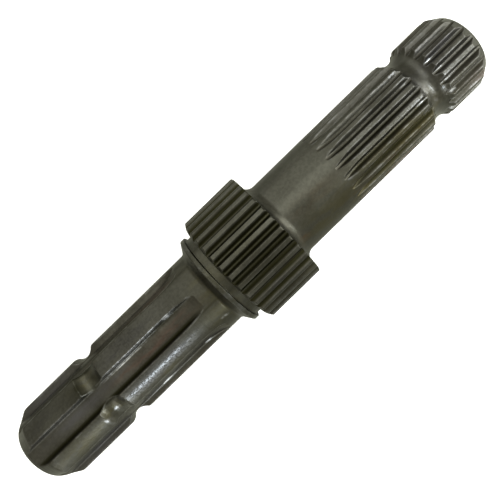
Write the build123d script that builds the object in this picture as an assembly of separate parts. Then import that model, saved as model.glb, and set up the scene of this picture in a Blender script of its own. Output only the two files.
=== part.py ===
import os
from math import acos, atan2, cos, degrees, pi, radians, sin, sqrt, tan

from build123d import *

# Reversible stub shaft of a tractor power take-off, forged and turned in one piece.
# X runs along the axis towards the 21-spline end, Z is up, and the origin is on the
# axis in the middle of the toothed collar, which is also the middle of the length.
shaft_length = 234.0

# Six straight-sided splines at the -X end
six_count = 6
six_major_diameter = 34.79
six_minor_diameter = 29.65
six_tooth_width = 8.58
six_full_depth_length = 76.5
six_groove_from_end = 38.0
six_chamfer_length = 6.1
six_chamfer_angle = 30.0

# Twenty-one involute splines at the +X end
fine_count = 21
fine_pitch_diameter = 33.3375
fine_major_diameter = 34.87
fine_minor_diameter = 31.19
fine_tooth_thickness = 2.494
fine_full_depth_length = 63.0
fine_groove_from_end = 25.5
fine_chamfer_length = 4.5
fine_chamfer_angle = 32.0

# Toothed collar in the middle, 33 involute teeth of module 1.5
collar_count = 33
collar_pitch_diameter = 49.5
collar_tip_diameter = 51.7
collar_root_diameter = 48.6
collar_tooth_thickness = 2.85
collar_length = 27.2
collar_bevel_length = 1.1
collar_bevel_height = 1.7
collar_edge_chamfer = 0.5

# Flange and retaining ring groove on the six-spline side of the collar
ring_groove_width = 3.6
ring_groove_diameter = 41.1
flange_diameter = 43.8
flange_width = 1.8
flange_cone_length = 3.0
flange_cone_fillet = 2.0

# Fillet from the collar's other face into the plain journal
journal_fillet = 4.0

# Ring grooves that the locking balls of the implement's yoke drop into
lock_groove_radius = 6.8
lock_groove_diameter = 29.4

# Rounded runout that the spline hob leaves at the inner end of each gap
hob_radius = 32.0
pressure_angle = 30.0

# Centre-drilled holes in both end faces
centre_pilot_diameter = 5.0
centre_pilot_depth = 9.0
centre_cone_diameter = 10.6
centre_cone_angle = 60.0

# Angle about X of one gap of each toothed length, measured from +Z towards -Y
six_gap_angle = 6.5
fine_gap_angle = 8.85
collar_gap_angle = 180.0

# How far a cutting shape reaches past the metal that it removes, lengthwise and outwards
overcut = 0.3
headroom = 2.0
full_turn = 360.0

half_length = shaft_length / 2
half_collar = collar_length / 2
six_radius = six_major_diameter / 2
fine_radius = fine_major_diameter / 2
collar_radius = collar_tip_diameter / 2


def round_curve(centre, radius, start, end):
    """Curve along a round of this centre and radius, from one angle to another in radians."""
    handle = 4 / 3 * tan((end - start) / 4) * radius
    first = (centre[0] + radius * cos(start), centre[1] + radius * sin(start))
    last = (centre[0] + radius * cos(end), centre[1] + radius * sin(end))
    return Bezier(
        first,
        (first[0] - handle * sin(start), first[1] + handle * cos(start)),
        (last[0] + handle * sin(end), last[1] - handle * cos(end)),
        last,
    )


def turned_blank():
    """Half section of the turned forging, spun about the axis."""
    six_end_radius = six_radius - six_chamfer_length * tan(radians(six_chamfer_angle))
    fine_end_radius = fine_radius - fine_chamfer_length * tan(radians(fine_chamfer_angle))
    ring_radius = ring_groove_diameter / 2
    flange_radius = flange_diameter / 2
    ring_face = -half_collar - ring_groove_width
    flange_face = ring_face - flange_width
    cone_foot = flange_face - flange_cone_length
    cone_slope = atan2(flange_radius - six_radius, flange_cone_length)
    cone_fillet_start = cone_foot - flange_cone_fillet * tan(cone_slope / 2)
    journal_start = half_collar + journal_fillet
    six_end = [
        (-half_length, 0),
        (-half_length, six_end_radius),
        (-half_length + six_chamfer_length, six_radius),
        (cone_fillet_start, six_radius),
    ]
    flange_and_collar = [
        (flange_face, flange_radius),
        (ring_face, flange_radius),
        (ring_face, ring_radius),
        (-half_collar, ring_radius),
        (-half_collar, collar_radius - collar_bevel_height),
        (-half_collar + collar_bevel_length, collar_radius),
        (half_collar - collar_edge_chamfer, collar_radius),
        (half_collar, collar_radius - collar_edge_chamfer),
    ]
    fine_end = [
        (half_length - fine_chamfer_length, fine_radius),
        (half_length, fine_end_radius),
        (half_length, 0),
    ]
    cone_fillet_centre = (cone_fillet_start, six_radius + flange_cone_fillet)
    journal_fillet_centre = (journal_start, fine_radius + journal_fillet)
    with BuildSketch(Plane.XZ) as section:
        with BuildLine():
            Polyline(*six_end)
            cone = round_curve(cone_fillet_centre, flange_cone_fillet, -pi / 2, cone_slope - pi / 2)
            journal = round_curve(journal_fillet_centre, journal_fillet, pi, 3 * pi / 2)
            Polyline(cone @ 1, *flange_and_collar, journal @ 0)
            Polyline(journal @ 1, *fine_end, six_end[0])
        make_face()
    return revolve(section.sketch, Axis.X)


def straight_flank_point(radius):
    """Point of a straight-sided spline's flank, in the plane of a gap centred on +Z."""
    lean = pi / six_count
    half_width = six_tooth_width / 2
    along = sqrt(radius**2 - half_width**2)
    return (along * sin(lean) - half_width * cos(lean), along * cos(lean) + half_width * sin(lean))


def involute(angle):
    return tan(angle) - angle


def involute_flank_point(radius, count, pitch_diameter, thickness):
    """Point of an involute flank, in the plane of a gap centred on +Z."""
    base_radius = pitch_diameter / 2 * cos(radians(pressure_angle))
    half_tooth = (
        thickness / pitch_diameter
        + involute(radians(pressure_angle))
        - involute(acos(base_radius / radius))
    )
    half_gap = pi / count - half_tooth
    return (radius * sin(half_gap), radius * cos(half_gap))


def mirrored(points):
    """The same points on the other side of the gap's middle plane."""
    return [(-y, z) for y, z in points]


def straight_gap_section():
    """Gap between two straight-sided splines: round floor, flat top in the air."""
    floor_radius = six_minor_diameter / 2
    right = [straight_flank_point(radius) for radius in (floor_radius, six_radius + headroom)]
    left = mirrored(right)
    with BuildSketch(Plane.YZ) as section:
        with BuildLine():
            ThreePointArc(left[0], (0, floor_radius), right[0])
            Line(*right)
            Line(right[-1], left[-1])
            Line(*left)
        make_face()
    return section.sketch


def involute_gap_section(count, pitch_diameter, root_diameter, tip_diameter, thickness):
    """Flat-floored gap between two involute teeth, each flank an arc through three points."""
    floor_radius = root_diameter / 2
    top_radius = tip_diameter / 2 + overcut
    radii = (floor_radius, (floor_radius + top_radius) / 2, top_radius)
    right = [involute_flank_point(radius, count, pitch_diameter, thickness) for radius in radii]
    left = mirrored(right)
    with BuildSketch(Plane.YZ) as section:
        with BuildLine():
            Line(left[0], right[0])
            ThreePointArc(*right)
            Line(right[-1], left[-1])
            ThreePointArc(*left)
        make_face()
    return section.sketch


def hobbed_gap(section, end, full_depth_length, floor_radius, tip_radius):
    """Shape of one hobbed gap: straight in from the end face, then out along the hob's arc."""
    inward = -1 if end > 0 else 1
    full_depth_end = end + inward * full_depth_length
    outside = end - inward * overcut
    straight = extrude(Pos(outside, 0, 0) * section, full_depth_length + overcut, dir=(inward, 0, 0))
    lift = tip_radius + headroom - floor_radius
    hob_axis = Axis((full_depth_end, 0, floor_radius + hob_radius), (0, -inward, 0))
    runout = revolve(Pos(full_depth_end, 0, 0) * section, hob_axis, degrees(acos(1 - lift / hob_radius)))
    return straight + runout


def spaced_round(shape, count, first_angle):
    """Copies of a shape at equal angles about the shaft's axis."""
    return [Rot(X=first_angle + full_turn * index / count) * shape for index in range(count)]


def six_spline_gaps():
    floor_radius = six_minor_diameter / 2
    gap = hobbed_gap(straight_gap_section(), -half_length, six_full_depth_length, floor_radius, six_radius)
    return spaced_round(gap, six_count, six_gap_angle)


def fine_spline_gaps():
    section = involute_gap_section(
        fine_count,
        fine_pitch_diameter,
        fine_minor_diameter,
        fine_major_diameter,
        fine_tooth_thickness,
    )
    gap = hobbed_gap(section, half_length, fine_full_depth_length, fine_minor_diameter / 2, fine_radius)
    return spaced_round(gap, fine_count, fine_gap_angle)


def collar_gaps():
    section = involute_gap_section(
        collar_count,
        collar_pitch_diameter,
        collar_root_diameter,
        collar_tip_diameter,
        collar_tooth_thickness,
    )
    gap = extrude(section, half_collar + overcut, both=True)
    return spaced_round(gap, collar_count, collar_gap_angle)


def lock_groove(station):
    """Round-floored ring groove at this station, open outwards past the spline tips."""
    centre = (station, lock_groove_diameter / 2 + lock_groove_radius)
    half_turn = acos((centre[1] - fine_radius - overcut) / lock_groove_radius)
    with BuildSketch(Plane.XZ) as section:
        with BuildLine():
            left = round_curve(centre, lock_groove_radius, -pi / 2 - half_turn, -pi / 2)
            right = round_curve(centre, lock_groove_radius, -pi / 2, half_turn - pi / 2)
            Line(right @ 1, left @ 0)
        make_face()
    return revolve(section.sketch, Axis.X)


def centre_hole(end):
    """Centre-drilled hole in one end face: a pilot with a wider cone at its mouth."""
    inward = -1 if end > 0 else 1
    pilot_radius = centre_pilot_diameter / 2
    cone_radius = centre_cone_diameter / 2
    cone_depth = (cone_radius - pilot_radius) / tan(radians(centre_cone_angle / 2))
    outline = [
        (end, 0),
        (end, cone_radius),
        (end + inward * cone_depth, pilot_radius),
        (end + inward * centre_pilot_depth, pilot_radius),
        (end + inward * centre_pilot_depth, 0),
    ]
    with BuildSketch(Plane.XZ) as section:
        with BuildLine():
            Polyline(*outline, close=True)
        make_face()
    return revolve(section.sketch, Axis.X)


def pto_shaft():
    """The whole shaft: the turned blank less its gaps, locking grooves and centre holes."""
    cuts = six_spline_gaps() + fine_spline_gaps() + collar_gaps()
    cuts.append(lock_groove(-half_length + six_groove_from_end))
    cuts.append(lock_groove(half_length - fine_groove_from_end))
    cuts += [centre_hole(-half_length), centre_hole(half_length)]
    return turned_blank() - cuts


os.makedirs("parts", exist_ok=True)
export_step(pto_shaft(), "parts/pto_shaft.step")
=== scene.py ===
import math

import bpy
import numpy as np
from mathutils import Matrix, Vector


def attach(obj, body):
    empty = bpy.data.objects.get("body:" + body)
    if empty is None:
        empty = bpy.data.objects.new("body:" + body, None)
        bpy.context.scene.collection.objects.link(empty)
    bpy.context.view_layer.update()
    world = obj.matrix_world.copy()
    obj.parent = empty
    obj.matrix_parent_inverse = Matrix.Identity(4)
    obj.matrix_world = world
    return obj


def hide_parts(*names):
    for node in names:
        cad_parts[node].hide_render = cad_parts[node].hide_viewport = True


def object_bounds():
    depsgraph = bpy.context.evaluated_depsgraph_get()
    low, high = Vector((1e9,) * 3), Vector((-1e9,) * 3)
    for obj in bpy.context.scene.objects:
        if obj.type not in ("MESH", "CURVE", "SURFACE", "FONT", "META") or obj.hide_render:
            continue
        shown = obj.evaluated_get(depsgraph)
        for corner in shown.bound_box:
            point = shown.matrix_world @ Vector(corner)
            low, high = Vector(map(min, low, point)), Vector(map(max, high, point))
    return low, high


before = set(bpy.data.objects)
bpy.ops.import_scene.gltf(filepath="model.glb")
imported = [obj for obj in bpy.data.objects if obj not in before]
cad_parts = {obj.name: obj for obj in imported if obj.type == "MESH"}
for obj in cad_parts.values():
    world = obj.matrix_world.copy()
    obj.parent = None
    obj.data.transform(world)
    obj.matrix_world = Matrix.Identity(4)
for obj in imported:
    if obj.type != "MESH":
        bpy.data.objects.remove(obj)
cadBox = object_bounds()

# Power take-off stub shaft, lying on its collar. X is the shaft's axis, Z is up, and angles
# round the axis start at +Z and turn towards -Y. The shaft's values are in millimetres and
# degrees, the camera's and the studio's in metres and degrees.
mm = 0.001
alongShaft = Vector((1, 0, 0))

cameraView = {
    "distance": 0.194,  # from the shaft's axis
    "alongAxis": 0.00616,  # where the camera is square to the axis
    "tip": 5.25,  # from straight above, towards -Y
    "axisRise": 44.27,  # how steeply the shaft climbs across the picture
    "lens": 34.07,
    "sensor": 36,
    "shift": (-0.0253, -0.0263),
    "nearest": 0.01,
}


# Back runs from the axis to the camera: straight up, tipped towards -Y. The picture's right and
# up are the axis and the direction across it, turned by the rise.
def placeCamera(view):
    tip, rise = math.radians(view["tip"]), math.radians(view["axisRise"])
    back = Vector((0, -math.sin(tip), math.cos(tip)))
    side = Vector((0, -math.cos(tip), -math.sin(tip)))
    right = alongShaft * math.cos(rise) + side * math.sin(rise)
    up = alongShaft * math.sin(rise) - side * math.cos(rise)
    data = bpy.data.cameras.new("shaftCamera")
    data.lens = view["lens"]
    data.sensor_width = view["sensor"]
    data.shift_x, data.shift_y = view["shift"]
    data.clip_start = view["nearest"]
    camera = bpy.data.objects.new("shaftCamera", data)
    turn = Matrix((right, up, back)).transposed().to_4x4()
    place = alongShaft * view["alongAxis"] + back * view["distance"]
    camera.matrix_world = Matrix.Translation(place) @ turn
    bpy.context.scene.collection.objects.link(camera)
    bpy.context.scene.camera = camera
    return back, side


towardsCamera, towardsSide = placeCamera(cameraView)
print("camera placed")

# The turned shape, its stations counted from the middle of the collar
shaft = {
    "halfLength": 117.0,
    "sixRadius": 17.395,
    "fineRadius": 17.435,
    "collarRadius": 25.85,
    "sixEndRadius": 13.873,  # at the end face, where the chamfer starts
    "fineEndRadius": 14.623,
    "sixChamfer": 6.1,
    "fineChamfer": 4.5,
    "sixGroove": -79.0,
    "fineGroove": 91.5,
    "grooveRadius": 6.8,
    "sixGrooveCentre": 21.76,  # from the axis, clear of the wide gaps' floors
    "fineGrooveCentre": 21.5,
    "coneFoot": -22.0,
    "coneFillet": 2.0,
    "flange": (-19.0, -17.2, 21.9),  # its two faces and its radius
    "ringGrooveRadius": 20.55,
    "halfCollar": 13.6,
    "bevel": (1.1, 1.7),  # length and height, on the flange's side
    "collarChamfer": 0.5,
    "journalFillet": 4.0,
    "hobRadius": 32.0,
    "centreHole": (2.5, 5.3, 4.85, 9.0, 1.44),  # pilot, mouth, cone depth, depth, tip
    "pilotTaper": 0.98,
}

# How far each corner's rounding reaches along the outline, to both sides of the corner
cornerReach = {
    "pilot": 0.1,
    "mouth": 0.3,
    "endFace": 0.4,
    "sixChamfer": 0.5,
    "fineChamfer": 0.4,
    "lockGroove": 0.3,
    "cone": 0.25,
    "ringGroove": 0.3,
    "bevelFoot": 0.1,
    "bevelTop": 0.25,
    "collarChamfer": (0.2, 0.15),
}

# Stations of the surface's rows, closer together where the hob comes out of the steel
outlineRows = {
    "sixTip": (-104, -98, -91, -85.6),
    "sixLength": (
        -70, -65.5, -61, -56.5, -52, -48, -44, -40.5, -38, -36, -34.2, -32.6, -31.2, -30, -29,
        -28.4, -28.1, -27.95, -27.85, -27.75, -27.6, -25,
    ),
    "journalAndFine": (
        21, 25.5, 30, 34.5, 39, 42.9, 43.3, 43.45, 43.6, 43.75, 43.95, 44.3, 44.8, 45.5, 46.4,
        47.6, 49, 51, 54, 58, 62, 66, 70, 74, 78, 82, 85.2,
    ),
    "fineTip": (98, 100, 104, 108),
    "collarFace": (24.9, 24.6, 24.31, 24.2),  # radii of the rows on it
    "bevel": (0.15, 0.4, 0.7),  # shares of its length
    "chamfer": (0.25, 0.45, 0.65, 0.85),  # shares of its length
    "pastFloor": 0.04,  # share of a chamfer past the row at the gaps' floors
    "aboveFloor": 0.3,  # row of the six-spline groove above the gaps' floors
    "lockGroove": 19,  # rows on each arc
    "coneFillet": 5,
    "journalFillet": 9,
}

# Points on a corner's rounding, the most of a side that it takes, and its ends' share of wear
softening = {"shares": (0, 0.33, 0.67, 1), "mostOfSide": 0.45, "endWear": 0.5}

# The three toothed lengths. The full depth ends at a station, from where the hob comes out
# inwards. Columns are counted per pitch, and those of floor, flank and tip per half gap.
sixGaps = {
    "count": 6, "phase": 6.5,  # gaps round, and the angle of one of them
    "root": 14.78, "toothHalf": 4.29,  # floor's radius, half a spline's width
    "rootRound": 1.3, "tipRound": 0.34,
    "fullDepthEnd": -40.5, "inward": 1, "hobReach": 16,
    "columns": 77, "floor": 13, "flank": 9, "tip": 4,
    "dirtAndShade": 0.80, "dirtAndShadeRise": 1.6,  # most grime and painted shade, and how fast it grows with depth
    "floorMiddleSpared": 0.97, "floorFade": 5,  # the floor's middle gets less grime and painted shade
    "dirtAndShadeByGap": [1.0, 0.35, 0.5, 0.8, 0.6, 0.4],  # from gap to gap
    "lowerHalfShare": 0.12,  # share of the grime and painted shade on the half at lower angles
}
fineGaps = {
    "count": 21, "phase": 8.85,
    "root": 15.595, "pitchRadius": 16.66875, "toothArc": 2.494,
    "rootRound": 0.5, "tipRound": 0.2,
    "fullDepthEnd": 54, "inward": -1, "hobReach": 14,
    "columns": 22, "floor": 3, "flank": 4, "tip": 2,
    # Grime and painted shade in the gaps, growing with depth
    "dirtAndShade": 0.7, "dirtAndShadeRise": 1.6,
    "floorMiddleSpared": 0.85, "floorFade": 0.6,
    "dirtAndShadeByGap": [1.0],
    "lowerHalfShare": 0.4,
}
collarGaps = {
    "count": 33, "phase": 180 - 16 * 360 / 33,
    "root": 24.3, "pitchRadius": 24.75, "toothArc": 2.85,
    "rootRound": 0.35, "tipRound": 0.16,
    "fullDepthEnd": 0, "inward": 0, "hobReach": 0,
    "columns": 14, "floor": 2, "flank": 2, "tip": 2,
    # Grime and painted shade in the gaps, growing with depth
    "dirtAndShade": 1.0, "dirtAndShadeRise": 3.6,
    "floorMiddleSpared": 0.62, "floorFade": 0.5,
    "dirtAndShadeByGap": [1.0],
    "lowerHalfShare": 1.0,
}

# What the three have in common
gapRules = {
    "pressureAngle": 30,
    "flankReach": 5,  # how far above the floor a flank is worked out
    "floorPoints": 80,
    "flankPoints": 400,
    "halvings": 40,
    "cornerInset": 0.3,  # of the root's rounding, where the floor's columns end
    "tipShare": 0.5,  # the most of a flank that the tip's rounding takes
    "closest": 0.35,  # least step between columns, in halves of an even one
    "oddStep": 0.6,  # steps by which an odd number of columns ends early
    "cutDepth": 0.02,  # below the turned radius, from which a point is cut
    "leastDepth": 0.3,  # that a gap counts as for its grime and painted shade
    "dirtAndShadeStart": 0.15,
}

# Stations and radii where each toothed length's rows begin or end, and two shares of its masks
rowLimits = {
    "sixEnd": -26,
    "collarStart": -13,
    "collarEnd": 13.7,
    "collarRadius": 24,
    "fineStart": (40, 43.2),
    "chamfer": (112.4, 14.9),  # station and radius past which the fine chamfer lies
    "beforeChamfer": 111,
    "chamferDirtAndShade": 0.85,  # share of the gaps' grime and painted shade that goes on over the chamfer
    "collarWear": 0.2,  # share of the corners' wear that the collar has
}


# Nought before the start, one past the stop, and 3 t^2 - 2 t^3 of the share t between them
def fadeBetween(x, start, stop):
    share = np.clip((x - start) / (stop - start), 0, 1)
    return share * share * (3 - 2 * share)


# Quadratic curve from start to stop that leans towards the corner: (1 - t)^2 of the start,
# 2 t (1 - t) of the corner and t^2 of the stop
def leanCurve(start, corner, stop, t):
    return (1 - t) ** 2 * start + 2 * t * (1 - t) * corner + t ** 2 * stop


# Half of one gap across the axis: a floor at the root radius, then the flank. A straight flank
# runs half a tooth from the tooth's middle plane. An involute one has the angle of half a tooth
# plus inv(30 deg) minus inv(acos(base / r)). The corner between them is a quadratic curve.
def gapProfile(gap):
    floorPoints, reach = gapRules["floorPoints"], gap["rootRound"]
    radii = np.linspace(gap["root"], gap["root"] + gapRules["flankReach"], gapRules["flankPoints"])
    if "toothHalf" in gap:
        lean, half = math.pi / gap["count"], gap["toothHalf"]
        along = np.sqrt(radii ** 2 - half ** 2)
        flankY = along * np.sin(lean) - half * np.cos(lean)
        flankZ = along * np.cos(lean) + half * np.sin(lean)
        floorAngle = np.linspace(0, math.atan2(flankY[0], flankZ[0]), floorPoints)
        floorY, floorZ = gap["root"] * np.sin(floorAngle), gap["root"] * np.cos(floorAngle)
    else:
        press = math.radians(gapRules["pressureAngle"])
        tilt = np.arccos(gap["pitchRadius"] * math.cos(press) / radii)
        halfArc = gap["toothArc"] / 2 / gap["pitchRadius"]
        halfTooth = halfArc + math.tan(press) - press - (np.tan(tilt) - tilt)
        angle = math.pi / gap["count"] - halfTooth
        flankY, flankZ = radii * np.sin(angle), radii * np.cos(angle)
        floorY = np.linspace(0, flankY[0], floorPoints)
        floorZ = np.full(floorPoints, flankZ[0])
    y = np.concatenate([floorY, flankY[1:]])
    z = np.concatenate([floorZ, flankZ[1:]])
    s = np.concatenate([[0], np.cumsum(np.hypot(np.diff(y), np.diff(z)))])
    corner = s[floorPoints - 1]
    t = np.clip((s - corner + reach) / (2 * reach), 0, 1)
    inside = (t > 0) & (t < 1)
    ends = np.array([corner - reach, corner, corner + reach])
    curveY, curveZ = np.interp(ends, s, y), np.interp(ends, s, z)
    return {
        "s": s,
        "y": np.where(inside, leanCurve(*curveY, t), y),
        "z": np.where(inside, leanCurve(*curveZ, t), z),
        "corner": corner,
        "hobCentre": gap["root"] + shaft["hobRadius"],
    }


# The profile's point at arc length s in every row. Where a row lies past the full depth, the hob
# lifts a point of height z to its centre less the root of (centre - z)^2 - past^2.
def hobbedPoint(profile, past, s):
    y = np.interp(s, profile["s"], profile["y"])
    z = np.interp(s, profile["s"], profile["z"])
    square = (profile["hobCentre"] - z) ** 2 - past[:, None] ** 2
    return y, profile["hobCentre"] - np.sqrt(np.maximum(square, 0))


# Arc length at which each row's flank meets the turned radius, found by halving the stretch
# that holds it
def flankEnd(profile, past, turned):
    low = np.full((len(turned), 1), profile["corner"])
    high = np.full((len(turned), 1), profile["s"][-1])
    for _ in range(gapRules["halvings"]):
        middle = (low + high) / 2
        under = np.hypot(*hobbedPoint(profile, past, middle)) < turned[:, None]
        low, high = np.where(under, middle, low), np.where(under, high, middle)
    return low


# Half a pitch of every row, as angle and radius: shares of the floor's and of the flank's arc
# length, a quadratic curve over the tip, then even steps of angle over the land. Also three
# masks: where a gap is cut, where a tip's corner is, and where grime and painted shade lie.
def gapColumns(gap, x, turnedRadius):
    profile, turned = gapProfile(gap), turnedRadius[:, None]
    past = np.clip(gap["inward"] * (x - gap["fullDepthEnd"]), 0, gap["hobReach"])
    meet, corner = flankEnd(profile, past, turnedRadius), profile["corner"]
    reach = np.minimum(gap["tipRound"], gapRules["tipShare"] * (meet - corner))
    inset = gapRules["cornerInset"] * gap["rootRound"]
    floorShare = np.linspace(0, 1, gap["floor"] + 1)[None, :]
    flankShare = np.linspace(0, 1, gap["flank"] + 1)[None, 1:]
    tipShare = np.linspace(0, 1, gap["tip"] + 1)[None, 1:]
    y, z = hobbedPoint(profile, past, np.concatenate([
        floorShare * (corner - inset) + 0 * meet,
        corner - inset + flankShare * (meet - reach - corner + inset),
    ], axis=1))
    meetY, meetZ = hobbedPoint(profile, past, meet)
    landAngle = np.arctan2(meetY, meetZ) + reach / turned
    tipY = leanCurve(y[:, -1:], meetY, turned * np.sin(landAngle), tipShare)
    tipZ = leanCurve(z[:, -1:], meetZ, turned * np.cos(landAngle), tipShare)
    angle = np.concatenate([np.arctan2(y, z), np.arctan2(tipY, tipZ)], axis=1)
    radius = np.concatenate([np.hypot(y, z), np.hypot(tipY, tipZ)], axis=1)

    floorEnd, landStart, half = gap["floor"], angle.shape[1] - 1, gap["columns"] // 2
    halfPitch = math.pi / gap["count"]
    least = halfPitch / gap["columns"] * gapRules["closest"]
    spread = angle[:, floorEnd:floorEnd + 1] + least * np.arange(landStart - floorEnd + 1)
    angle[:, floorEnd:] = np.maximum(angle[:, floorEnd:], spread)
    lastAngle = halfPitch * (1 - (gap["columns"] % 2) * gapRules["oddStep"] / half)
    share = np.linspace(0, 1, half - landStart + 1)[None, 1:]
    land = angle[:, -1:] + share * (lastAngle - angle[:, -1:])
    angle = np.concatenate([angle, land], axis=1)
    radius = np.minimum(np.concatenate([radius, turned + 0 * land], axis=1), turned)

    cut = (radius < turned - gapRules["cutDepth"]) * 1.0
    edge = np.zeros_like(angle)
    edge[:, landStart - gap["tip"]:landStart + 1] = np.clip(reach / gap["tipRound"], 0, 1)
    depth = (turned - radius) / np.maximum(turned - gap["root"], gapRules["leastDepth"])
    # Grime and painted shade: darker the deeper a point lies, with the floor's middle spared
    dirtAndShade = gap["dirtAndShade"] * np.clip(gap["dirtAndShadeRise"] * depth - gapRules["dirtAndShadeStart"], 0, 1)
    dirtAndShade[:, :floorEnd] *= 1 - gap["floorMiddleSpared"] * (1 - floorShare[:, :-1] ** gap["floorFade"])
    return angle, radius, cut, edge, dirtAndShade


# Lays half a pitch of columns out over the whole turn: an angle becomes a gap's middle plus or
# minus itself, and the grime and painted shade are thinned from gap to gap and on the mirrored
# half
def roundTheAxis(gap, half):
    angle, *values = half
    count, columns = gap["count"], gap["columns"]
    index = np.arange(count * columns)
    place, pitch = index % columns, 2 * math.pi / count
    mirrored = place > columns // 2
    source = np.where(mirrored, columns - place, place)
    turn = math.radians(gap["phase"]) + pitch * (index // columns + mirrored)
    sign = np.where(mirrored, -1.0, 1.0)
    values = [value[:, source] for value in values]
    dirtAndShadeByGap = np.array(gap["dirtAndShadeByGap"])[(index // columns + mirrored) % count % len(gap["dirtAndShadeByGap"])]
    values[-1] = values[-1] * dirtAndShadeByGap * np.where(mirrored, gap["lowerHalfShare"], 1.0)
    return [turn + sign * angle[:, source]] + values


# Rows on a plain stretch, where only the station changes
def plainRows(stations, radius):
    return [[x, radius, 0] for x in stations]


# Rows on an arc about a centre, even steps of angle apart
def filletRows(centreX, centreR, radius, start, stop, count):
    angles = np.radians(np.linspace(start, stop, count))
    return [[centreX + radius * math.cos(a), centreR + radius * math.sin(a), 0] for a in angles]


# Rows of a round groove: the station plus its radius times the sine of the angle, and its
# centre's distance less its radius times the cosine, with two more rows at the floor's radius
def lockGrooveRows(station, centre, outer, floor):
    radius = shaft["grooveRadius"]
    half, atFloor = math.acos((centre - outer) / radius), math.acos((centre - floor) / radius)
    angles = np.linspace(-half, half, outlineRows["lockGroove"])
    angles = np.sort(np.concatenate([angles, [-atFloor, atFloor]]))
    rows = np.stack([
        station + radius * np.sin(angles),
        centre - radius * np.cos(angles),
        np.zeros(len(angles)),
    ], axis=1)
    rows[[0, -1], 2] = cornerReach["lockGroove"]
    return rows.tolist()


# Rows at shares of the straight line from the first point to the last, with two more where the
# gaps' floors come out of the chamfer
def chamferRows(x0, r0, x1, r1, floor):
    atFloor = (floor - r0) / (r1 - r0)
    shares = sorted([*outlineRows["chamfer"], atFloor, atFloor + outlineRows["pastFloor"]])
    return [[x0 + (x1 - x0) * t, r0 + (r1 - r0) * t, 0] for t in shares]


# The half section as corners, from one centre hole to the other, each with its station, its
# radius and its rounding's reach; and the stations of the two holes' tips
def turnedOutline():
    pilot, mouth, coneDepth, depth, tipDepth = shaft["centreHole"]
    flangeLeft, flangeRight, flangeRadius = shaft["flange"]
    bevelLength, bevelHeight = shaft["bevel"]
    end, collar, collarRadius = shaft["halfLength"], shaft["halfCollar"], shaft["collarRadius"]
    sixRadius, sixEndRadius = shaft["sixRadius"], shaft["sixEndRadius"]
    fineRadius, fineEndRadius = shaft["fineRadius"], shaft["fineEndRadius"]
    ringRadius, chamfer = shaft["ringGrooveRadius"], shaft["collarChamfer"]
    coneFillet, journalFillet = shaft["coneFillet"], shaft["journalFillet"]
    sixStart, fineStart = -end + shaft["sixChamfer"], end - shaft["fineChamfer"]
    bevelFoot = collarRadius - bevelHeight
    slope = math.degrees(math.atan2(flangeRadius - sixRadius, flangeLeft - shaft["coneFoot"]))
    filletStart = shaft["coneFoot"] - coneFillet * math.tan(math.radians(slope / 2))
    reach, pilotEnd = cornerReach, pilot * shaft["pilotTaper"]
    sixGroove = (shaft["sixGroove"], shaft["sixGrooveCentre"], sixRadius)
    fineGroove = (shaft["fineGroove"], shaft["fineGrooveCentre"], fineRadius)
    rows = [
        [-end + depth, pilotEnd, reach["pilot"]],
        [-end + coneDepth, pilot, reach["pilot"]],
        [-end, mouth, reach["mouth"]],
        [-end, (mouth + sixEndRadius) / 2, 0],
        [-end, sixEndRadius, reach["endFace"]],
        *chamferRows(-end, sixEndRadius, sixStart, sixRadius, sixGaps["root"]),
        [sixStart, sixRadius, reach["sixChamfer"]],
        *plainRows(outlineRows["sixTip"], sixRadius),
        *lockGrooveRows(*sixGroove, sixGaps["root"] + outlineRows["aboveFloor"]),
        *plainRows(outlineRows["sixLength"], sixRadius),
        *filletRows(
            filletStart, sixRadius + coneFillet, coneFillet, -90, slope - 90,
            outlineRows["coneFillet"]),
        [flangeLeft, flangeRadius, reach["cone"]],
        [flangeRight, flangeRadius, reach["ringGroove"]],
        [flangeRight, ringRadius, reach["ringGroove"]],
        [-collar, ringRadius, reach["ringGroove"]],
        [-collar, bevelFoot, reach["bevelFoot"]],
        *[
            [-collar + bevelLength * share, bevelFoot + bevelHeight * share, 0]
            for share in outlineRows["bevel"]
        ],
        [-collar + bevelLength, collarRadius, reach["bevelTop"]],
        [0, collarRadius, 0],
        [collar - chamfer, collarRadius, reach["collarChamfer"][0]],
        [collar, collarRadius - chamfer, reach["collarChamfer"][1]],
        *[[collar, radius, 0] for radius in outlineRows["collarFace"]],
        *filletRows(
            collar + journalFillet, fineRadius + journalFillet, journalFillet, 180, 270,
            outlineRows["journalFillet"]),
        *plainRows(outlineRows["journalAndFine"], fineRadius),
        *lockGrooveRows(*fineGroove, fineGaps["root"]),
        *plainRows(outlineRows["fineTip"], fineRadius),
        [fineStart, fineRadius, reach["fineChamfer"]],
        *chamferRows(end, fineEndRadius, fineStart, fineRadius, fineGaps["root"])[::-1],
        [end, fineEndRadius, reach["endFace"]],
        [end, (mouth + fineEndRadius) / 2, 0],
        [end, mouth, reach["mouth"]],
        [end - coneDepth, pilot, reach["pilot"]],
        [end - depth, pilotEnd, reach["pilot"]],
    ]
    return np.array(rows), (-end + depth + tipDepth, end - depth - tipDepth)


# Each corner that has a rounding becomes points of a quadratic curve whose ends lie that far
# along both neighbours. The second array says how far each row is a convex corner.
def softenedOutline(corners):
    points, edges = [], []
    for index, (x, r, reach) in enumerate(corners):
        here = np.array([x, r])
        if reach == 0 or index in (0, len(corners) - 1):
            points.append(here)
            edges.append(0.0)
            continue
        before, after = corners[index - 1, :2] - here, corners[index + 1, :2] - here
        lengths = np.linalg.norm(before), np.linalg.norm(after)
        most = softening["mostOfSide"]
        start = here + before / lengths[0] * min(reach, most * lengths[0])
        stop = here + after / lengths[1] * min(reach, most * lengths[1])
        convex = 1.0 if before[0] * after[1] - before[1] * after[0] > 0 else 0.0
        for t in softening["shares"]:
            points.append(leanCurve(start, here, stop, t))
            edges.append(convex * (1 if 0 < t < 1 else softening["endWear"]))
    return np.array(points), np.array(edges)


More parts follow.
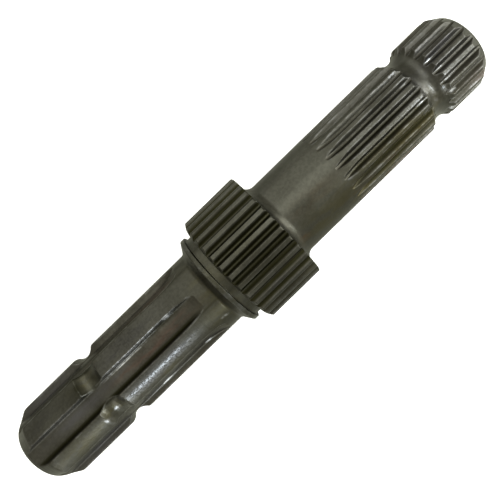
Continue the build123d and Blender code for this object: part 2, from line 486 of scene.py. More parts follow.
# One closed grid: rows follow the turned outline, columns follow the gaps' floors, flanks and
# lands. Where the shaft is plain the columns glide from one spacing to the next.
def shaftSurface():
    corners, poles = turnedOutline()
    outline, rowEdge = softenedOutline(corners)
    x, turned = outline[:, 0], outline[:, 1]
    gaps = (sixGaps, collarGaps, fineGaps)
    lengths = [roundTheAxis(gap, gapColumns(gap, x, turned)) for gap in gaps]
    six, collar, fine = (length[0] for length in lengths)
    index = np.arange(len(x))
    sixLast = index[x < rowLimits["sixEnd"]][-1]
    onTeeth = turned > rowLimits["collarRadius"]
    collarFirst = index[(x < rowLimits["collarStart"]) & onTeeth][0]
    collarLast = index[(x < rowLimits["collarEnd"]) & onTeeth][-1]
    fineFirst = index[(x > rowLimits["fineStart"][0]) & (x < rowLimits["fineStart"][1])][0]
    toCollar = fadeBetween(index, sixLast, collarFirst - 1)[:, None]
    toFine = fadeBetween(index, collarLast + 1, fineFirst)[:, None]
    angle = six * (1 - toCollar) + collar * toCollar
    angle = angle * (1 - toFine) + fine * toFine
    onCollar = ((index >= collarFirst) & (index <= collarLast))[:, None]
    toothed = [(index <= sixLast)[:, None], onCollar, (index >= fineFirst)[:, None]]
    plain = np.repeat(turned[:, None], angle.shape[1], axis=1)
    radius, cut, edge, dirtAndShade = (
        np.select(toothed, [length[kind] for length in lengths], rest)
        for kind, rest in enumerate((plain, 0.0, 0.0, 0.0), start=1)
    )
    # The gaps' grime and painted shade go on over the fine chamfer
    onChamfer = (x > rowLimits["chamfer"][0]) & (turned > rowLimits["chamfer"][1])
    beforeChamfer = index[x < rowLimits["beforeChamfer"]][-1]
    carried = rowLimits["chamferDirtAndShade"] * dirtAndShade[beforeChamfer]
    dirtAndShade[onChamfer] = np.maximum(dirtAndShade[onChamfer], carried)
    edge = np.maximum(edge, rowEdge[:, None] * (cut < 0.5))
    edge = edge * (1 - (1 - rowLimits["collarWear"]) * onCollar)
    place = np.stack([
        np.repeat(x[:, None], angle.shape[1], axis=1),
        -radius * np.sin(angle),
        radius * np.cos(angle),
    ], axis=2) * mm
    return place, poles, angle, cut, edge, dirtAndShade


# Quads between neighbouring rows and columns, closed round the axis, with a fan to each pole.
# Each vertex normal is the sum of its faces' normals times their areas.
def gridMesh(name, place, poles):
    rows, columns = place.shape[:2]
    near = np.arange(rows * columns).reshape(rows, columns)
    beside = np.roll(near, -1, axis=1)
    quads = np.stack([near[:-1], beside[:-1], beside[1:], near[1:]], axis=2).reshape(-1, 4)
    first, last = rows * columns, rows * columns + 1
    startFan = np.stack([np.full(columns, first), beside[0], near[0]], axis=1)
    endFan = np.stack([np.full(columns, last), near[-1], beside[-1]], axis=1)
    points = np.concatenate([place.reshape(-1, 3), [[pole * mm, 0, 0] for pole in poles]])
    normals = np.zeros_like(points)
    diagonals = points[quads[:, 2:]] - points[quads[:, :2]]
    flat = np.cross(diagonals[:, 0], diagonals[:, 1])
    for corner in range(4):
        np.add.at(normals, quads[:, corner], flat)
    for fan in (startFan, endFan):
        sides = points[fan[:, 1:]] - points[fan[:, :1]]
        flat = np.cross(sides[:, 0], sides[:, 1])
        for corner in range(3):
            np.add.at(normals, fan[:, corner], flat)
    normals /= np.maximum(np.linalg.norm(normals, axis=1, keepdims=True), 1e-12)
    mesh = bpy.data.meshes.new(name)
    mesh.from_pydata(points.tolist(), [], quads.tolist() + startFan.tolist() + endFan.tolist())
    mesh.polygons.foreach_set("use_smooth", np.ones(len(mesh.polygons), bool))
    mesh.normals_split_custom_set_from_vertices(normals.tolist())
    return mesh


# Mean of a grid value over each quad's four corners, then the value at the two fans' rims
def faceMean(values):
    right = np.roll(values, -1, axis=1)
    quads = (values[:-1] + right[:-1] + right[1:] + values[1:]) / 4
    return np.concatenate([quads.ravel(), values[0], values[-1]])


# One value for each vertex of the grid, and nought for the two poles
def addAttribute(mesh, name, values):
    attribute = mesh.attributes.new(name, "FLOAT", "POINT")
    attribute.data.foreach_set("value", np.concatenate([values.ravel(), [0, 0]]).astype(np.float32))


# What lies on the steel, by the name of its mesh attribute: browned or yellowed old oil, bluish
# grey bloom, grime with painted shade, and bare metal with painted glints and sheen. Each spot is
# station, angle, how far it fades along and round, and strength.
spots = {
    "brownStain": [
        (-41, 6, 9, 7, 0.9), (-63, 8, 8, 6, 1.0), (-52, 12, 12, 4, 0.8), (-40, -54, 9, 8, 1.0),
        (-60, -50, 14, 9, 0.9), (17.8, 44.5, 1.6, 6, 1.0), (110, 60, 6, 12, 0.7),
        (-60, 150, 30, 40, 0.6), (60, -150, 25, 35, 0.5), (0, -150, 14, 30, 0.4),
        (62, 53, 18, 3, 0.8), (30, 14, 11, 10, 0.25), (62, 80, 18, 6, 0.6),
    ],
    "yellowStain": [
        (66, 42, 24, 18, 0.8), (62, 68, 22, 12, 0.9), (74, 47, 10, 8, 1.0), (86, 52, 5, 12, 0.7),
        (-98, 38, 12, 12, 0.7), (-80, -25, 5, 10, 0.8), (-79, 36, 5, 11, 0.8),
        (-22, 10, 5, 60, 0.4), (30, 55, 16, 25, 0.7), (-15.5, 20, 3, 60, 0.25),
        (-52, -47, 12, 7, 0.8), (0, 5, 13, 24, 0.2), (-58, 45, 9, 6, 0.7),
        (-27, 45, 8, 30, 0.4), (30, -150, 20, 40, 0.6),
    ],
    "greyBloom": [
        (-62, -23, 12, 11, 1.0), (-46, -23, 9, 11, 0.35), (-90, 4, 14, 8, 1.0),
        (-72, 2, 10, 6, 0.7), (-56, 30, 18, 14, 0.9), (-104, -25, 10, 14, 0.5),
        (1, 50, 9, 12, 0.8), (95, -5, 16, 40, 0.6), (-98, -66, 14, 14, 1.0),
        (-98, 82, 14, 14, 1.0), (-60, 130, 30, 25, 0.7), (-50, 200, 30, 30, 0.7),
        (75, -60, 35, 10, 0.4), (104, -13, 6, 3, 1.0),
    ],
    # Grime, and painted shade in corners and over reflections that should fall dark
    "gapDirtAndShade": [
        (-84.4, -20, 1.4, 14, 0.8), (-77.6, -22, 1.2, 5, 0.6), (-82, -9.3, 4, 2.2, 0.8),
        (-76, -14, 1.6, 6, 0.5), (-76, 36, 2, 12, 0.4), (-82, 38, 2, 10, 0.3),
        (-42, -7, 9, 3, 0.8), (-75, -38.2, 60, 2.6, 1.0), (-75, -53, 60, 3.5, 1.0),
        (-72, 20.8, 60, 1.5, 0.8), (-50, -22, 9, 12, 0.05), (-58, 5, 26, 12, 0.12),
        (0, 24, 15, 48, 0.24), (0, 70, 16, 16, 0.2), (0, 0, 15, 12, 0.08),
        (-18.5, 10, 2, 70, 0.42), (93.5, -35, 5, 22, 0.1), (66, 58, 22, 26, 0.34),
        (26, -10, 14, 14, 0.05), (30, 25, 16, 22, 0.14), (30, 86, 16, 14, 0.48),
        (30, 13, 14, 9, 0.1), (72, -36, 30, 4, 0.45), (66, -38, 18, 3.6, 0.55),
        (68, 10, 22, 24, 0.09), (105, 22, 8, 18, 0.1),
    ],
    # Bare metal that paints glints, and at small strengths a faint painted sheen
    "bareAndPaintedGlint": [
        (-60, -9.0, 12, 0.7, 0.6), (-65, -4.2, 6.5, 0.8, 0.9), (-58.5, -3.8, 1.2, 0.9, 3.0),
        (-46, -9.0, 6, 0.6, 0.3), (-39.5, -8.3, 1.0, 1.0, 3.0), (-61.5, 78.4, 3.0, 0.9, 1.3),
        (-37.5, 78.4, 0.8, 0.8, 1.4), (-84.6, 36, 0.4, 2.4, 0.8), (-79.4, 37, 1.3, 1.4, 0.4),
        (-25.5, 47, 1.0, 1.6, 0.4), (-96, -8.7, 10, 0.6, 0.12), (97.5, -10.2, 1.2, 0.9, 0.8),
        (97.8, 7.6, 1.2, 0.9, 0.7), (98.2, 26.8, 1.0, 0.9, 0.7), (97.6, 46, 0.8, 0.8, 0.9),
        (96.6, 76, 1.2, 3, 0.8), (108.8, 66, 0.8, 0.8, 0.8), (84.6, -9, 0.9, 0.9, 0.6),
        (84.4, 25.5, 0.9, 0.9, 0.9), (84, 42.5, 0.9, 0.9, 1.0), (84.2, 60.5, 1.0, 1.2, 1.0),
        (91.5, 30, 4.5, 55, 0.012), (30, -54, 14, 8, 0.011), (17, 15, 2.5, 45, 0.007),
        (68, -45, 17, 3.0, 0.018),
    ],
}

# Where the oil is wet, the grime and its painted shade thinner and the tool marks deeper. A pair
# says where something starts and where it is full, in degrees round the axis or in millimetres
# from the collar.
surfaceRules = {
    "lowSide": (8, 20),
    "sixWet": (32, 42),
    "sixTipDry": (76, 84),
    "sixTipLoss": 0.65,
    "fineWet": (48, 62),
    "fineWetness": 0.72,
    "grooveReach": 6,
    "grooveLoss": 0.85,  # of the wetness, on the upper side of both lock grooves
    "fineTip": (95, 99),
    "collarLow": (46, 62),
    "collarReach": 15,
    "lessDirtAndShade": 0.5,  # of the grime and painted shade, at the fine tip and low on the collar
    "sixLand": (26, 34),
    "rings": (0.15, 0.25, 0.6),  # everywhere, on the six lands, and on their lower side
    "grain": (0.07, 0.18),  # everywhere, and on the six lands' lower side
    "mostSpots": 3,
}


# Angle in degrees between -180 and 180
def signedDegrees(degrees):
    return (degrees + 180) % 360 - 180


# Sum of the spots: each is its strength times e to minus the squared distance from its middle,
# counted in its own lengths along and round the shaft
def spotAmount(label, station, degrees):
    amount = np.zeros_like(station)
    for middle, angle, along, around, strength in spots[label]:
        apart = signedDegrees(degrees - angle)
        amount += strength * np.exp(-((station - middle) / along) ** 2 - (apart / around) ** 2)
    return np.clip(amount, 0, surfaceRules["mostSpots"])


# Every mask of the finish, by the name of its mesh attribute. Wetness is that of both ends less
# what the lock grooves lose, grime with painted shade is the gaps' own, thinned, plus its spots,
# and rings and grain are a base plus what the six lands add.
def finishMasks(station, angle, cut, edge, dirtAndShade):
    rules, degrees = surfaceRules, signedDegrees(np.degrees(angle))
    lowSide = fadeBetween(degrees, *rules["lowSide"])
    sixWet = fadeBetween(-station, *rules["sixWet"])
    sixWet = sixWet * (1 - rules["sixTipLoss"] * fadeBetween(-station, *rules["sixTipDry"]))
    wet = sixWet + rules["fineWetness"] * fadeBetween(station, *rules["fineWet"])
    inSixGroove = abs(station - shaft["sixGroove"]) < rules["grooveReach"]
    inFineGroove = abs(station - shaft["fineGroove"]) < rules["grooveReach"]
    lowOnCollar = fadeBetween(degrees, *rules["collarLow"]) * (abs(station) < rules["collarReach"])
    dirtAndShade = dirtAndShade * (1 - rules["lessDirtAndShade"] * fadeBetween(station, *rules["fineTip"]))
    dirtAndShade = dirtAndShade * (1 - rules["lessDirtAndShade"] * lowOnCollar)
    onLand = fadeBetween(-station, *rules["sixLand"]) * (1 - cut)
    plainRings, landRings, lowRings = rules["rings"]
    plainGrain, lowGrain = rules["grain"]
    masks = {
        "cornerEdge": edge,
        "gapDirtAndShade": np.clip(dirtAndShade + spotAmount("gapDirtAndShade", station, degrees), 0, 1),
        "oilWet": wet * (1 - rules["grooveLoss"] * (inSixGroove | inFineGroove) * (1 - lowSide)),
        "ringMarks": plainRings + onLand * (landRings + lowRings * lowSide),
        "grainMarks": plainGrain + lowGrain * onLand * lowSide,
    }
    for label in ("brownStain", "yellowStain", "greyBloom", "bareAndPaintedGlint"):
        masks[label] = spotAmount(label, station, degrees)
    return masks


place, poles, angle, cut, edge, dirtAndShade = shaftSurface()
shaftMesh = gridMesh("ptoShaftSurface", place, poles)
for label, values in finishMasks(place[:, :, 0] / mm, angle, cut, edge, dirtAndShade).items():
    addAttribute(shaftMesh, label, values)
shaftPiece = bpy.data.objects.new("ptoShaftSurface", shaftMesh)
bpy.context.scene.collection.objects.link(shaftPiece)
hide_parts("pto_shaft")
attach(shaftPiece, "root")
print("shaft surface", place.shape, "triangles", 2 * place.shape[0] * place.shape[1])


# An empty node group and its two end nodes. Each input is given with the value it starts from,
# a number or a colour, and each output with its kind.
def newGroup(name, inputs, outputs):
    group = bpy.data.node_groups.new(name, "ShaderNodeTree")
    for label, value in inputs.items():
        kind = "Float" if isinstance(value, float) else "Color"
        socket = group.interface.new_socket(
            label, in_out="INPUT", socket_type="NodeSocket" + kind)
        socket.default_value = value
    for label, kind in outputs.items():
        group.interface.new_socket(label, in_out="OUTPUT", socket_type="NodeSocket" + kind)
    return group, group.nodes.new("NodeGroupInput"), group.nodes.new("NodeGroupOutput")


# A node with its settings, and its inputs as pairs of name or number and socket or value
def addNode(tree, kind, inputs=(), **settings):
    node = tree.nodes.new(kind)
    for key, value in settings.items():
        setattr(node, key, value)
    for target, value in inputs:
        if isinstance(value, bpy.types.NodeSocket):
            tree.links.new(value, node.inputs[target])
        else:
            node.inputs[target].default_value = value
    return node


# Result of one sum, product or the like of its inputs
def mathNode(tree, operation, *inputs, clamp=False):
    node = addNode(tree, "ShaderNodeMath", enumerate(inputs), operation=operation, use_clamp=clamp)
    return node.outputs[0]


# First colour at nought, second at one; inputs 0, 6 and 7 are the factor and the two colours
def mixColors(tree, factor, first, second, blend="MIX"):
    inputs = [(0, factor), (6, first), (7, second)]
    return addNode(tree, "ShaderNodeMix", inputs, data_type="RGBA", blend_type=blend).outputs[2]


# A value carried over from one range to another, by default with a soft start and stop, and
# held at its ends
def mapRange(tree, value, before, after, interpolation="SMOOTHSTEP"):
    inputs = enumerate((value, *before, *after))
    return addNode(tree, "ShaderNodeMapRange", inputs, interpolation_type=interpolation).outputs[0]


# Noise at a vector; its scale counts the lumps along one unit of the vector
def noise(tree, vector, scale, detail, roughness=0.5, distortion=0.0):
    return addNode(tree, "ShaderNodeTexNoise", [
        ("Vector", vector), ("Scale", scale), ("Detail", detail),
        ("Roughness", roughness), ("Distortion", distortion),
    ]).outputs["Fac"]


# Object coordinates
def objectPlace(tree):
    return addNode(tree, "ShaderNodeTexCoord").outputs["Object"]


# A vector times a factor for each direction
def stretched(tree, vector, factors):
    inputs = [(0, vector), (1, factors)]
    return addNode(tree, "ShaderNodeVectorMath", inputs, operation="MULTIPLY").outputs[0]


filmPattern = {
    "cloudDetail": 5.0, "cloudRoughness": 0.6, "clouds": (0.36, 0.66),
    "speckScale": 900.0, "specks": (0.35, 0.65), "speckShade": (0.90, 1.08),
    "poolScale": 38.0, "poolBend": 0.6, "pools": (0.35, 0.65),
    "beadScale": 1400.0, "beads": (0.40, 0.60), "beadOil": (0.12, 1.70),
}


# Cloudy film of oil on dark scaled steel: patches of a lighter tone, darker specks, a roughness
# that follows the patches, and oil that lies in pools and stands in small beads
def oilFilmGroup(pattern):
    group, start, end = newGroup(
        "oilFilm",
        {
            "Dark": (0.03, 0.03, 0.03, 1),
            "Light": (0.05, 0.05, 0.05, 1),
            "Patch Scale": 60.0,
            "Rough Low": 0.35,
            "Rough High": 0.5,
            "Oil Low": 0.2,
            "Oil High": 0.8,
        },
        {"Color": "Color", "Roughness": "Float", "Oil": "Float"},
    )
    given, place = start.outputs, objectPlace(group)
    clouds = noise(
        group, place, given["Patch Scale"], pattern["cloudDetail"], pattern["cloudRoughness"])
    specks = noise(group, place, pattern["speckScale"], detail=2.0)
    pools = noise(group, place, pattern["poolScale"], detail=3.0, distortion=pattern["poolBend"])
    beads = noise(group, place, pattern["beadScale"], detail=1.0)
    patch = mapRange(group, clouds, pattern["clouds"], (0.0, 1.0))
    shade = mapRange(group, specks, pattern["specks"], pattern["speckShade"])
    pool = mapRange(group, pools, pattern["pools"], (0.0, 1.0))
    bead = mapRange(group, beads, pattern["beads"], pattern["beadOil"])
    color = mixColors(group, patch, given["Dark"], given["Light"])
    grey = addNode(group, "ShaderNodeCombineColor", enumerate((shade, shade, shade))).outputs[0]
    color = mixColors(group, 1.0, color, grey, "MULTIPLY")
    roughEnds = (given["Rough Low"], given["Rough High"])
    oilEnds = (given["Oil Low"], given["Oil High"])
    rough = mapRange(group, patch, (0.0, 1.0), roughEnds, "LINEAR")
    oil = mapRange(group, pool, (0.0, 1.0), oilEnds, "LINEAR")
    group.links.new(color, end.inputs["Color"])
    group.links.new(rough, end.inputs["Roughness"])
    group.links.new(mathNode(group, "MULTIPLY", oil, bead, clamp=True), end.inputs["Oil"])
    return group


markPattern = {"drift": 45.0, "ringDetail": 2.0, "ringRoughness": 0.55, "grainScale": 1300.0}


# Fine rings that a cutting tool leaves across the axis: noise squeezed to the feed along X, with
# a little drift round the shaft, plus a finer grain
def toolMarksGroup(pattern):
    group, start, end = newGroup(
        "toolMarks",
        {"Feed": 0.0008, "Grain": 0.3, "Rings": 1.0},
        {"Height": "Float"},
    )
    given, place = start.outputs, objectPlace(group)
    parts = addNode(group, "ShaderNodeSeparateXYZ", [(0, place)]).outputs
    squeezed = addNode(group, "ShaderNodeCombineXYZ", enumerate((
        mathNode(group, "DIVIDE", parts[0], given["Feed"]),
        mathNode(group, "MULTIPLY", parts[1], pattern["drift"]),
        mathNode(group, "MULTIPLY", parts[2], pattern["drift"]),
    ))).outputs[0]
    rings = noise(group, squeezed, 1.0, pattern["ringDetail"], pattern["ringRoughness"])
    grain = noise(group, place, pattern["grainScale"], detail=1.0)
    deep = mathNode(group, "MULTIPLY", rings, given["Rings"])
    fine = mathNode(group, "MULTIPLY", grain, given["Grain"])
    group.links.new(mathNode(group, "ADD", deep, fine), end.inputs["Height"])
    return group


# Breaks for the corner wear, dashes for the painted glints
wearAndGlintPattern = {
    "breakScale": 210.0, "breakDetail": 4.0, "breakRoughness": 0.65, "breaks": (0.42, 0.68),
    "dashScale": (620.0, 240.0, 240.0), "dashes": (0.42, 0.56), "dashShare": (0.3, 1.0),
}


# Bare metal on the corners, as the corner mask times noise that breaks it up, plus painted glints
# and faint painted sheen of bright bare metal, as their mask times noise drawn into short dashes
def wearAndPaintedGlintGroup(pattern):
    group, start, end = newGroup(
        "wearAndPaintedGlint",
        {"Corner": 0.0, "Amount": 0.5, "Painted Glint": 0.0},
        {"Wear And Glint": "Float"},
    )
    given, place = start.outputs, objectPlace(group)
    breaks = noise(
        group, place, pattern["breakScale"], pattern["breakDetail"], pattern["breakRoughness"])
    broken = mapRange(group, breaks, pattern["breaks"], (0.0, 1.0))
    worn = mathNode(group, "MULTIPLY", broken, given["Corner"])
    worn = mathNode(group, "MULTIPLY", worn, given["Amount"])
    drawn = stretched(group, place, pattern["dashScale"])
    dashes = noise(group, drawn, 1.0, detail=2.0)
    dashed = mapRange(group, dashes, pattern["dashes"], pattern["dashShare"])
    glint = mathNode(group, "MULTIPLY", dashed, given["Painted Glint"])
    group.links.new(mathNode(group, "ADD", worn, glint, clamp=True), end.inputs["Wear And Glint"])
    return group


stainPattern = {
    "blotScale": (90.0, 320.0, 320.0), "blotDetail": 4.0, "blotRoughness": 0.6,
    "oilBlots": (0.38, 0.60), "oilShare": (0.2, 1.0),
    "greyBlots": (0.38, 0.62), "greyShare": (1.0, 0.5),
}


# Old brown and yellow oil and bluish grey bloom: each mask, broken up by noise drawn out along
# X, pulls the colour of the steel its own way
def stainGroup(pattern):
    group, start, end = newGroup(
        "stain",
        {
            "Color": (0.05, 0.05, 0.04, 1),
            "Brown": (0.06, 0.045, 0.02, 1),
            "Yellow": (0.06, 0.055, 0.02, 1),
            "Grey": (0.05, 0.05, 0.05, 1),
            "Brown Amount": 0.0,
            "Yellow Amount": 0.0,
            "Grey Amount": 0.0,
        },
        {"Color": "Color"},
    )
    given, drawn = start.outputs, stretched(group, objectPlace(group), pattern["blotScale"])
    blots = noise(group, drawn, 1.0, pattern["blotDetail"], pattern["blotRoughness"])
    oilBlots = mapRange(group, blots, pattern["oilBlots"], pattern["oilShare"])
    greyBlots = mapRange(group, blots, pattern["greyBlots"], pattern["greyShare"])
    color = given["Color"]
    for tint, share in (("Grey", greyBlots), ("Yellow", oilBlots), ("Brown", oilBlots)):
        amount = mathNode(group, "MULTIPLY", share, given[tint + " Amount"])
        color = mixColors(group, amount, color, given[tint])
    group.links.new(color, end.inputs["Color"])
    return group


dirtShadeAndOilPattern = {"rubbedOil": 0.8}  # the skin of oil that rubbed metal and painted glints keep


# Grime with painted shade pulls the colour down to its own and soaks the oil up; rubbed metal
# and painted glints show bright through both and keep a skin of oil. Grime and shade = mask times
# its strength; oil = film times wetness times what is left clean.
def dirtShadeAndOilGroup(pattern):
    group, start, end = newGroup(
        "dirtShadeAndOil",
        {
            "Color": (0.05, 0.05, 0.04, 1),
            "Dirt And Shade Mask": 0.0,
            "Dirt And Shade Color": (0.01, 0.01, 0.002, 1),
            "Dirt And Shade Strength": 0.9,
            "Wear And Glint": 0.0,
            "Bare Color": (0.5, 0.5, 0.5, 1),
            "Film": 0.5,
            "Wetness": 0.5,
        },
        {"Color": "Color", "Oil": "Float"},
    )
    given = start.outputs
    dirtAndShadeAmount = mathNode(group, "MULTIPLY", given["Dirt And Shade Mask"], given["Dirt And Shade Strength"])
    color = mixColors(group, dirtAndShadeAmount, given["Color"], given["Dirt And Shade Color"])
    color = mixColors(group, given["Wear And Glint"], color, given["Bare Color"])
    clean = mathNode(group, "SUBTRACT", 1.0, dirtAndShadeAmount)
    wet = mathNode(group, "MULTIPLY", given["Wetness"], clean)
    oil = mathNode(group, "MULTIPLY", given["Film"], wet)
    oil = mathNode(group, "MULTIPLY_ADD", given["Wear And Glint"], pattern["rubbedOil"], oil, clamp=True)
    group.links.new(color, end.inputs["Color"])
    group.links.new(oil, end.inputs["Oil"])
    return group


oilFilm, toolMarks = oilFilmGroup(filmPattern), toolMarksGroup(markPattern)
wearAndPaintedGlint, stain = wearAndPaintedGlintGroup(wearAndGlintPattern), stainGroup(stainPattern)
dirtShadeAndOil = dirtShadeAndOilGroup(dirtShadeAndOilPattern)

# Steel that only the lathe has cut, and steel in the hobbed gaps
turnedFinish = {
    "dark": (0.046, 0.0445, 0.0360), "light": (0.060, 0.0585, 0.0480), "patchScale": 55.0,
    "rough": (0.34, 0.42), "oil": (0.3, 1.0), "oilRoughness": 0.13, "oilIor": 1.47,
    "metallic": 0.9, "specular": 0.3, "feed": 0.0009, "markDepth": 0.00009,
    # Bright bare metal of worn corners and of painted glints
    "bare": (0.75, 0.76, 0.78), "wear": 0.085,
    "brown": (0.085, 0.057, 0.034), "yellow": (0.062, 0.055, 0.028),
    "grey": (0.034, 0.0325, 0.0335),
    # Colour and strength of the grime, which also paints shade in the gaps
    "dirtAndShadeColor": (0.0085, 0.0084, 0.0025), "dirtAndShadeStrength": 0.9,
}
hobbedFinish = {
    "dark": (0.046, 0.0435, 0.0355), "light": (0.062, 0.0590, 0.0480), "patchScale": 80.0,
    "rough": (0.36, 0.46), "oil": (0.15, 0.6), "oilRoughness": 0.13, "oilIor": 1.47,
    "metallic": 0.88, "specular": 0.3, "feed": 0.0020, "markDepth": 0.00009,
    # Bright bare metal of worn corners and of painted glints
    "bare": (0.75, 0.76, 0.78), "wear": 0.085,
    "brown": (0.082, 0.056, 0.045), "yellow": (0.062, 0.053, 0.022),
    "grey": (0.068, 0.0650, 0.0665),
    # Colour and strength of the grime, which also paints shade in the gaps
    "dirtAndShadeColor": (0.0100, 0.0094, 0.0024), "dirtAndShadeStrength": 1.0,
}
gapShare = 0.49  # of a face's corners cut, from which the face is hobbed steel


# Film, marks, wear with painted glints, stains, and grime with painted shade one after another,
# each group with this steel's values and with its masks from the mesh
def steelMaterial(name, finish):
    material = bpy.data.materials.new(name)
    material.use_nodes = True
    tree = material.node_tree
    shader = tree.nodes["Principled BSDF"]
    shader.inputs["Metallic"].default_value = finish["metallic"]
    shader.inputs["Coat Roughness"].default_value = finish["oilRoughness"]
    shader.inputs["Coat IOR"].default_value = finish["oilIor"]
    shader.inputs["Specular IOR Level"].default_value = finish["specular"]

    def mask(label):
        return addNode(tree, "ShaderNodeAttribute", attribute_name=label).outputs["Fac"]

    def color(kind):
        return (*finish[kind], 1)

    film = addNode(tree, "ShaderNodeGroup", [
        ("Dark", color("dark")), ("Light", color("light")), ("Patch Scale", finish["patchScale"]),
        ("Rough Low", finish["rough"][0]), ("Rough High", finish["rough"][1]),
        ("Oil Low", finish["oil"][0]), ("Oil High", finish["oil"][1]),
    ], node_tree=oilFilm)
    marks = addNode(tree, "ShaderNodeGroup", [
        ("Feed", finish["feed"]), ("Rings", mask("ringMarks")), ("Grain", mask("grainMarks")),
    ], node_tree=toolMarks)
    # Corner wear plus painted glints and faint painted sheen
    wear = addNode(tree, "ShaderNodeGroup", [
        ("Corner", mask("cornerEdge")), ("Amount", finish["wear"]), ("Painted Glint", mask("bareAndPaintedGlint")),
    ], node_tree=wearAndPaintedGlint)
    tinted = addNode(tree, "ShaderNodeGroup", [
        ("Color", film.outputs["Color"]),
        ("Brown", color("brown")), ("Brown Amount", mask("brownStain")),
        ("Yellow", color("yellow")), ("Yellow Amount", mask("yellowStain")),
        ("Grey", color("grey")), ("Grey Amount", mask("greyBloom")),
    ], node_tree=stain)
    # Grime with painted shade, then bare metal with painted glints, over the stained colour
    worn = addNode(tree, "ShaderNodeGroup", [
        ("Color", tinted.outputs["Color"]),
        ("Dirt And Shade Mask", mask("gapDirtAndShade")), ("Dirt And Shade Color", color("dirtAndShadeColor")),
        ("Dirt And Shade Strength", finish["dirtAndShadeStrength"]),
        ("Wear And Glint", wear.outputs["Wear And Glint"]), ("Bare Color", color("bare")),
        ("Film", film.outputs["Oil"]), ("Wetness", mask("oilWet")),
    ], node_tree=dirtShadeAndOil)
    bump = addNode(tree, "ShaderNodeBump", [
        ("Height", marks.outputs["Height"]), ("Distance", finish["markDepth"]),
    ])
    tree.links.new(worn.outputs["Color"], shader.inputs["Base Color"])
    tree.links.new(film.outputs["Roughness"], shader.inputs["Roughness"])
    tree.links.new(worn.outputs["Oil"], shader.inputs["Coat Weight"])
    tree.links.new(bump.outputs["Normal"], shader.inputs["Normal"])
    return material


shaftMesh.materials.append(steelMaterial("turnedSteel", turnedFinish))
shaftMesh.materials.append(steelMaterial("hobbedSteel", hobbedFinish))
hobbedFaces = (faceMean(cut) > gapShare).astype(np.int32)
shaftMesh.polygons.foreach_set("material_index", hobbedFaces)
print("steel finished")

studio = {
    "floorSize": 12.0,
    "floorColor": (0.88, 0.88, 0.88),
    "floorBounce": (0.36, 0.36, 0.31),  # what the floor sends back to the shaft
    "floorGlow": 0.55,
    "floorRoughness": 0.9,
    "floorSpecular": 0.1,
    "world": (0.64, 0.625, 0.50),
    "worldStrength": 1.0,
    "aim": 0.1,  # share of a panel's place along the axis that it faces
}

# Soft panels: degrees round the axis from the camera's direction, place along the axis,
# distance, size, power and colour
panels = {
    "wideSoftPanel": (-54, 0.02, 1.0, (0.46, 1.25), 3.6, (0.97, 1.0, 0.96)),
    "middlePanel": (-14, 0.14, 1.0, (0.44, 0.50), 2.8, (0.97, 1.0, 0.96)),
    "backPanel": (-110, 0.12, 1.0, (0.5, 0.6), 2.7, (0.97, 1.0, 0.98)),
    "fineEndPanel": (25, 0.64, 1.0, (0.72, 0.85), 3.0, (0.98, 1.0, 0.95)),
    "stubPanel": (18, 0.70, 1.0, (0.30, 0.75), 2.7, (0.94, 1.0, 0.99)),
    "flankPanel": (47, 0.66, 1.0, (0.34, 0.22), 1.6, (0.97, 1.0, 0.98)),
    "farPanel": (24, 1.35, 0.7, (0.9, 0.75), 13.0, (0.98, 1.0, 0.97)),
    "sidePanel": (98, 0.64, 0.8, (0.32, 0.7), 1.6, (1, 1, 1)),
    "endPanel": (0, -0.80, 1.0, (0.40, 0.8), 0.4, (1, 1, 1)),
    "endSidePanel": (58, -0.74, 1.0, (0.45, 0.5), 0.7, (1, 1, 1)),
    "leftPanel": (64, -0.30, 0.7, (0.34, 0.27), 0.68, (0.86, 0.93, 1.0)),
    "leftStrip": (59, -0.27, 0.6, (0.12, 0.07), 0.40, (0.80, 0.90, 1.0)),
    "rightStrip": (36, 0.365, 0.6, (0.07, 0.22), 0.8, (0.85, 0.92, 1.0)),
}


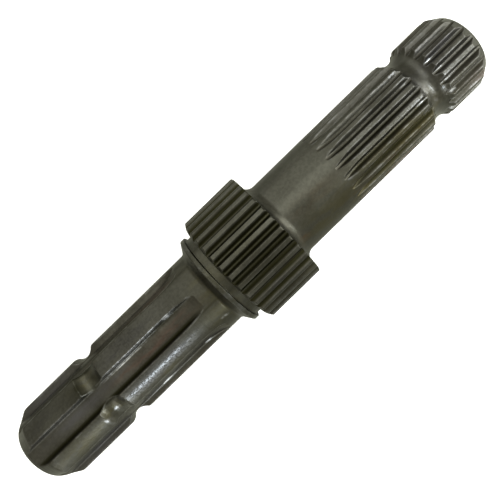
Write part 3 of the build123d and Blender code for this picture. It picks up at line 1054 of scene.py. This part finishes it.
# One square at this height, pale to the camera and darker in what it sends back to the shaft
def addFloor(height):
    size = studio["floorSize"] / 2
    turns = ((-size, -size), (size, -size), (size, size), (-size, size))
    corners = [(x, y, height) for x, y in turns]
    mesh = bpy.data.meshes.new("studioFloor")
    mesh.from_pydata(corners, [], [(0, 1, 2, 3)])
    floor = bpy.data.objects.new("studioFloor", mesh)
    bpy.context.scene.collection.objects.link(floor)
    material = bpy.data.materials.new("paleFloor")
    material.use_nodes = True
    tree = material.node_tree
    shader = tree.nodes["Principled BSDF"]
    ray = addNode(tree, "ShaderNodeLightPath").outputs["Is Camera Ray"]
    color = mixColors(tree, ray, (*studio["floorBounce"], 1), (*studio["floorColor"], 1))
    glow = mathNode(tree, "MULTIPLY", ray, studio["floorGlow"])
    tree.links.new(color, shader.inputs["Base Color"])
    tree.links.new(glow, shader.inputs["Emission Strength"])
    shader.inputs["Emission Color"].default_value = (1, 1, 1, 1)
    shader.inputs["Roughness"].default_value = studio["floorRoughness"]
    shader.inputs["Specular IOR Level"].default_value = studio["floorSpecular"]
    mesh.materials.append(material)


# A soft light that faces the shaft, turned round the axis from the camera's direction. Its back
# runs from the point it faces to its place, and one side lies as near to the axis as it can.
def addPanel(name, degrees, along, distance, size, power, color):
    turn = math.radians(degrees)
    direction = towardsCamera * math.cos(turn) + towardsSide * math.sin(turn)
    data = bpy.data.lights.new(name, "AREA")
    data.shape = "RECTANGLE"
    data.size, data.size_y = size
    data.energy = power
    data.color = color
    place = direction * distance + Vector((along, 0, 0))
    back = (place - Vector((along * studio["aim"], 0, 0))).normalized()
    across = (alongShaft - back * alongShaft.dot(back)).normalized()
    facing = Matrix((across, back.cross(across), back)).transposed().to_4x4()
    light = bpy.data.objects.new(name, data)
    light.matrix_world = Matrix.Translation(place) @ facing
    bpy.context.scene.collection.objects.link(light)


# An even pale world, and the panels
def lightStudio():
    world = bpy.data.worlds.new("studioWorld")
    world.use_nodes = True
    background = world.node_tree.nodes["Background"]
    background.inputs["Color"].default_value = (*studio["world"], 1)
    background.inputs["Strength"].default_value = studio["worldStrength"]
    bpy.context.scene.world = world
    for name, panel in panels.items():
        addPanel(name, *panel)


addFloor(cadBox[0].z)
lightStudio()
bpy.context.scene.view_settings.view_transform = "Standard"
print("studio ready")
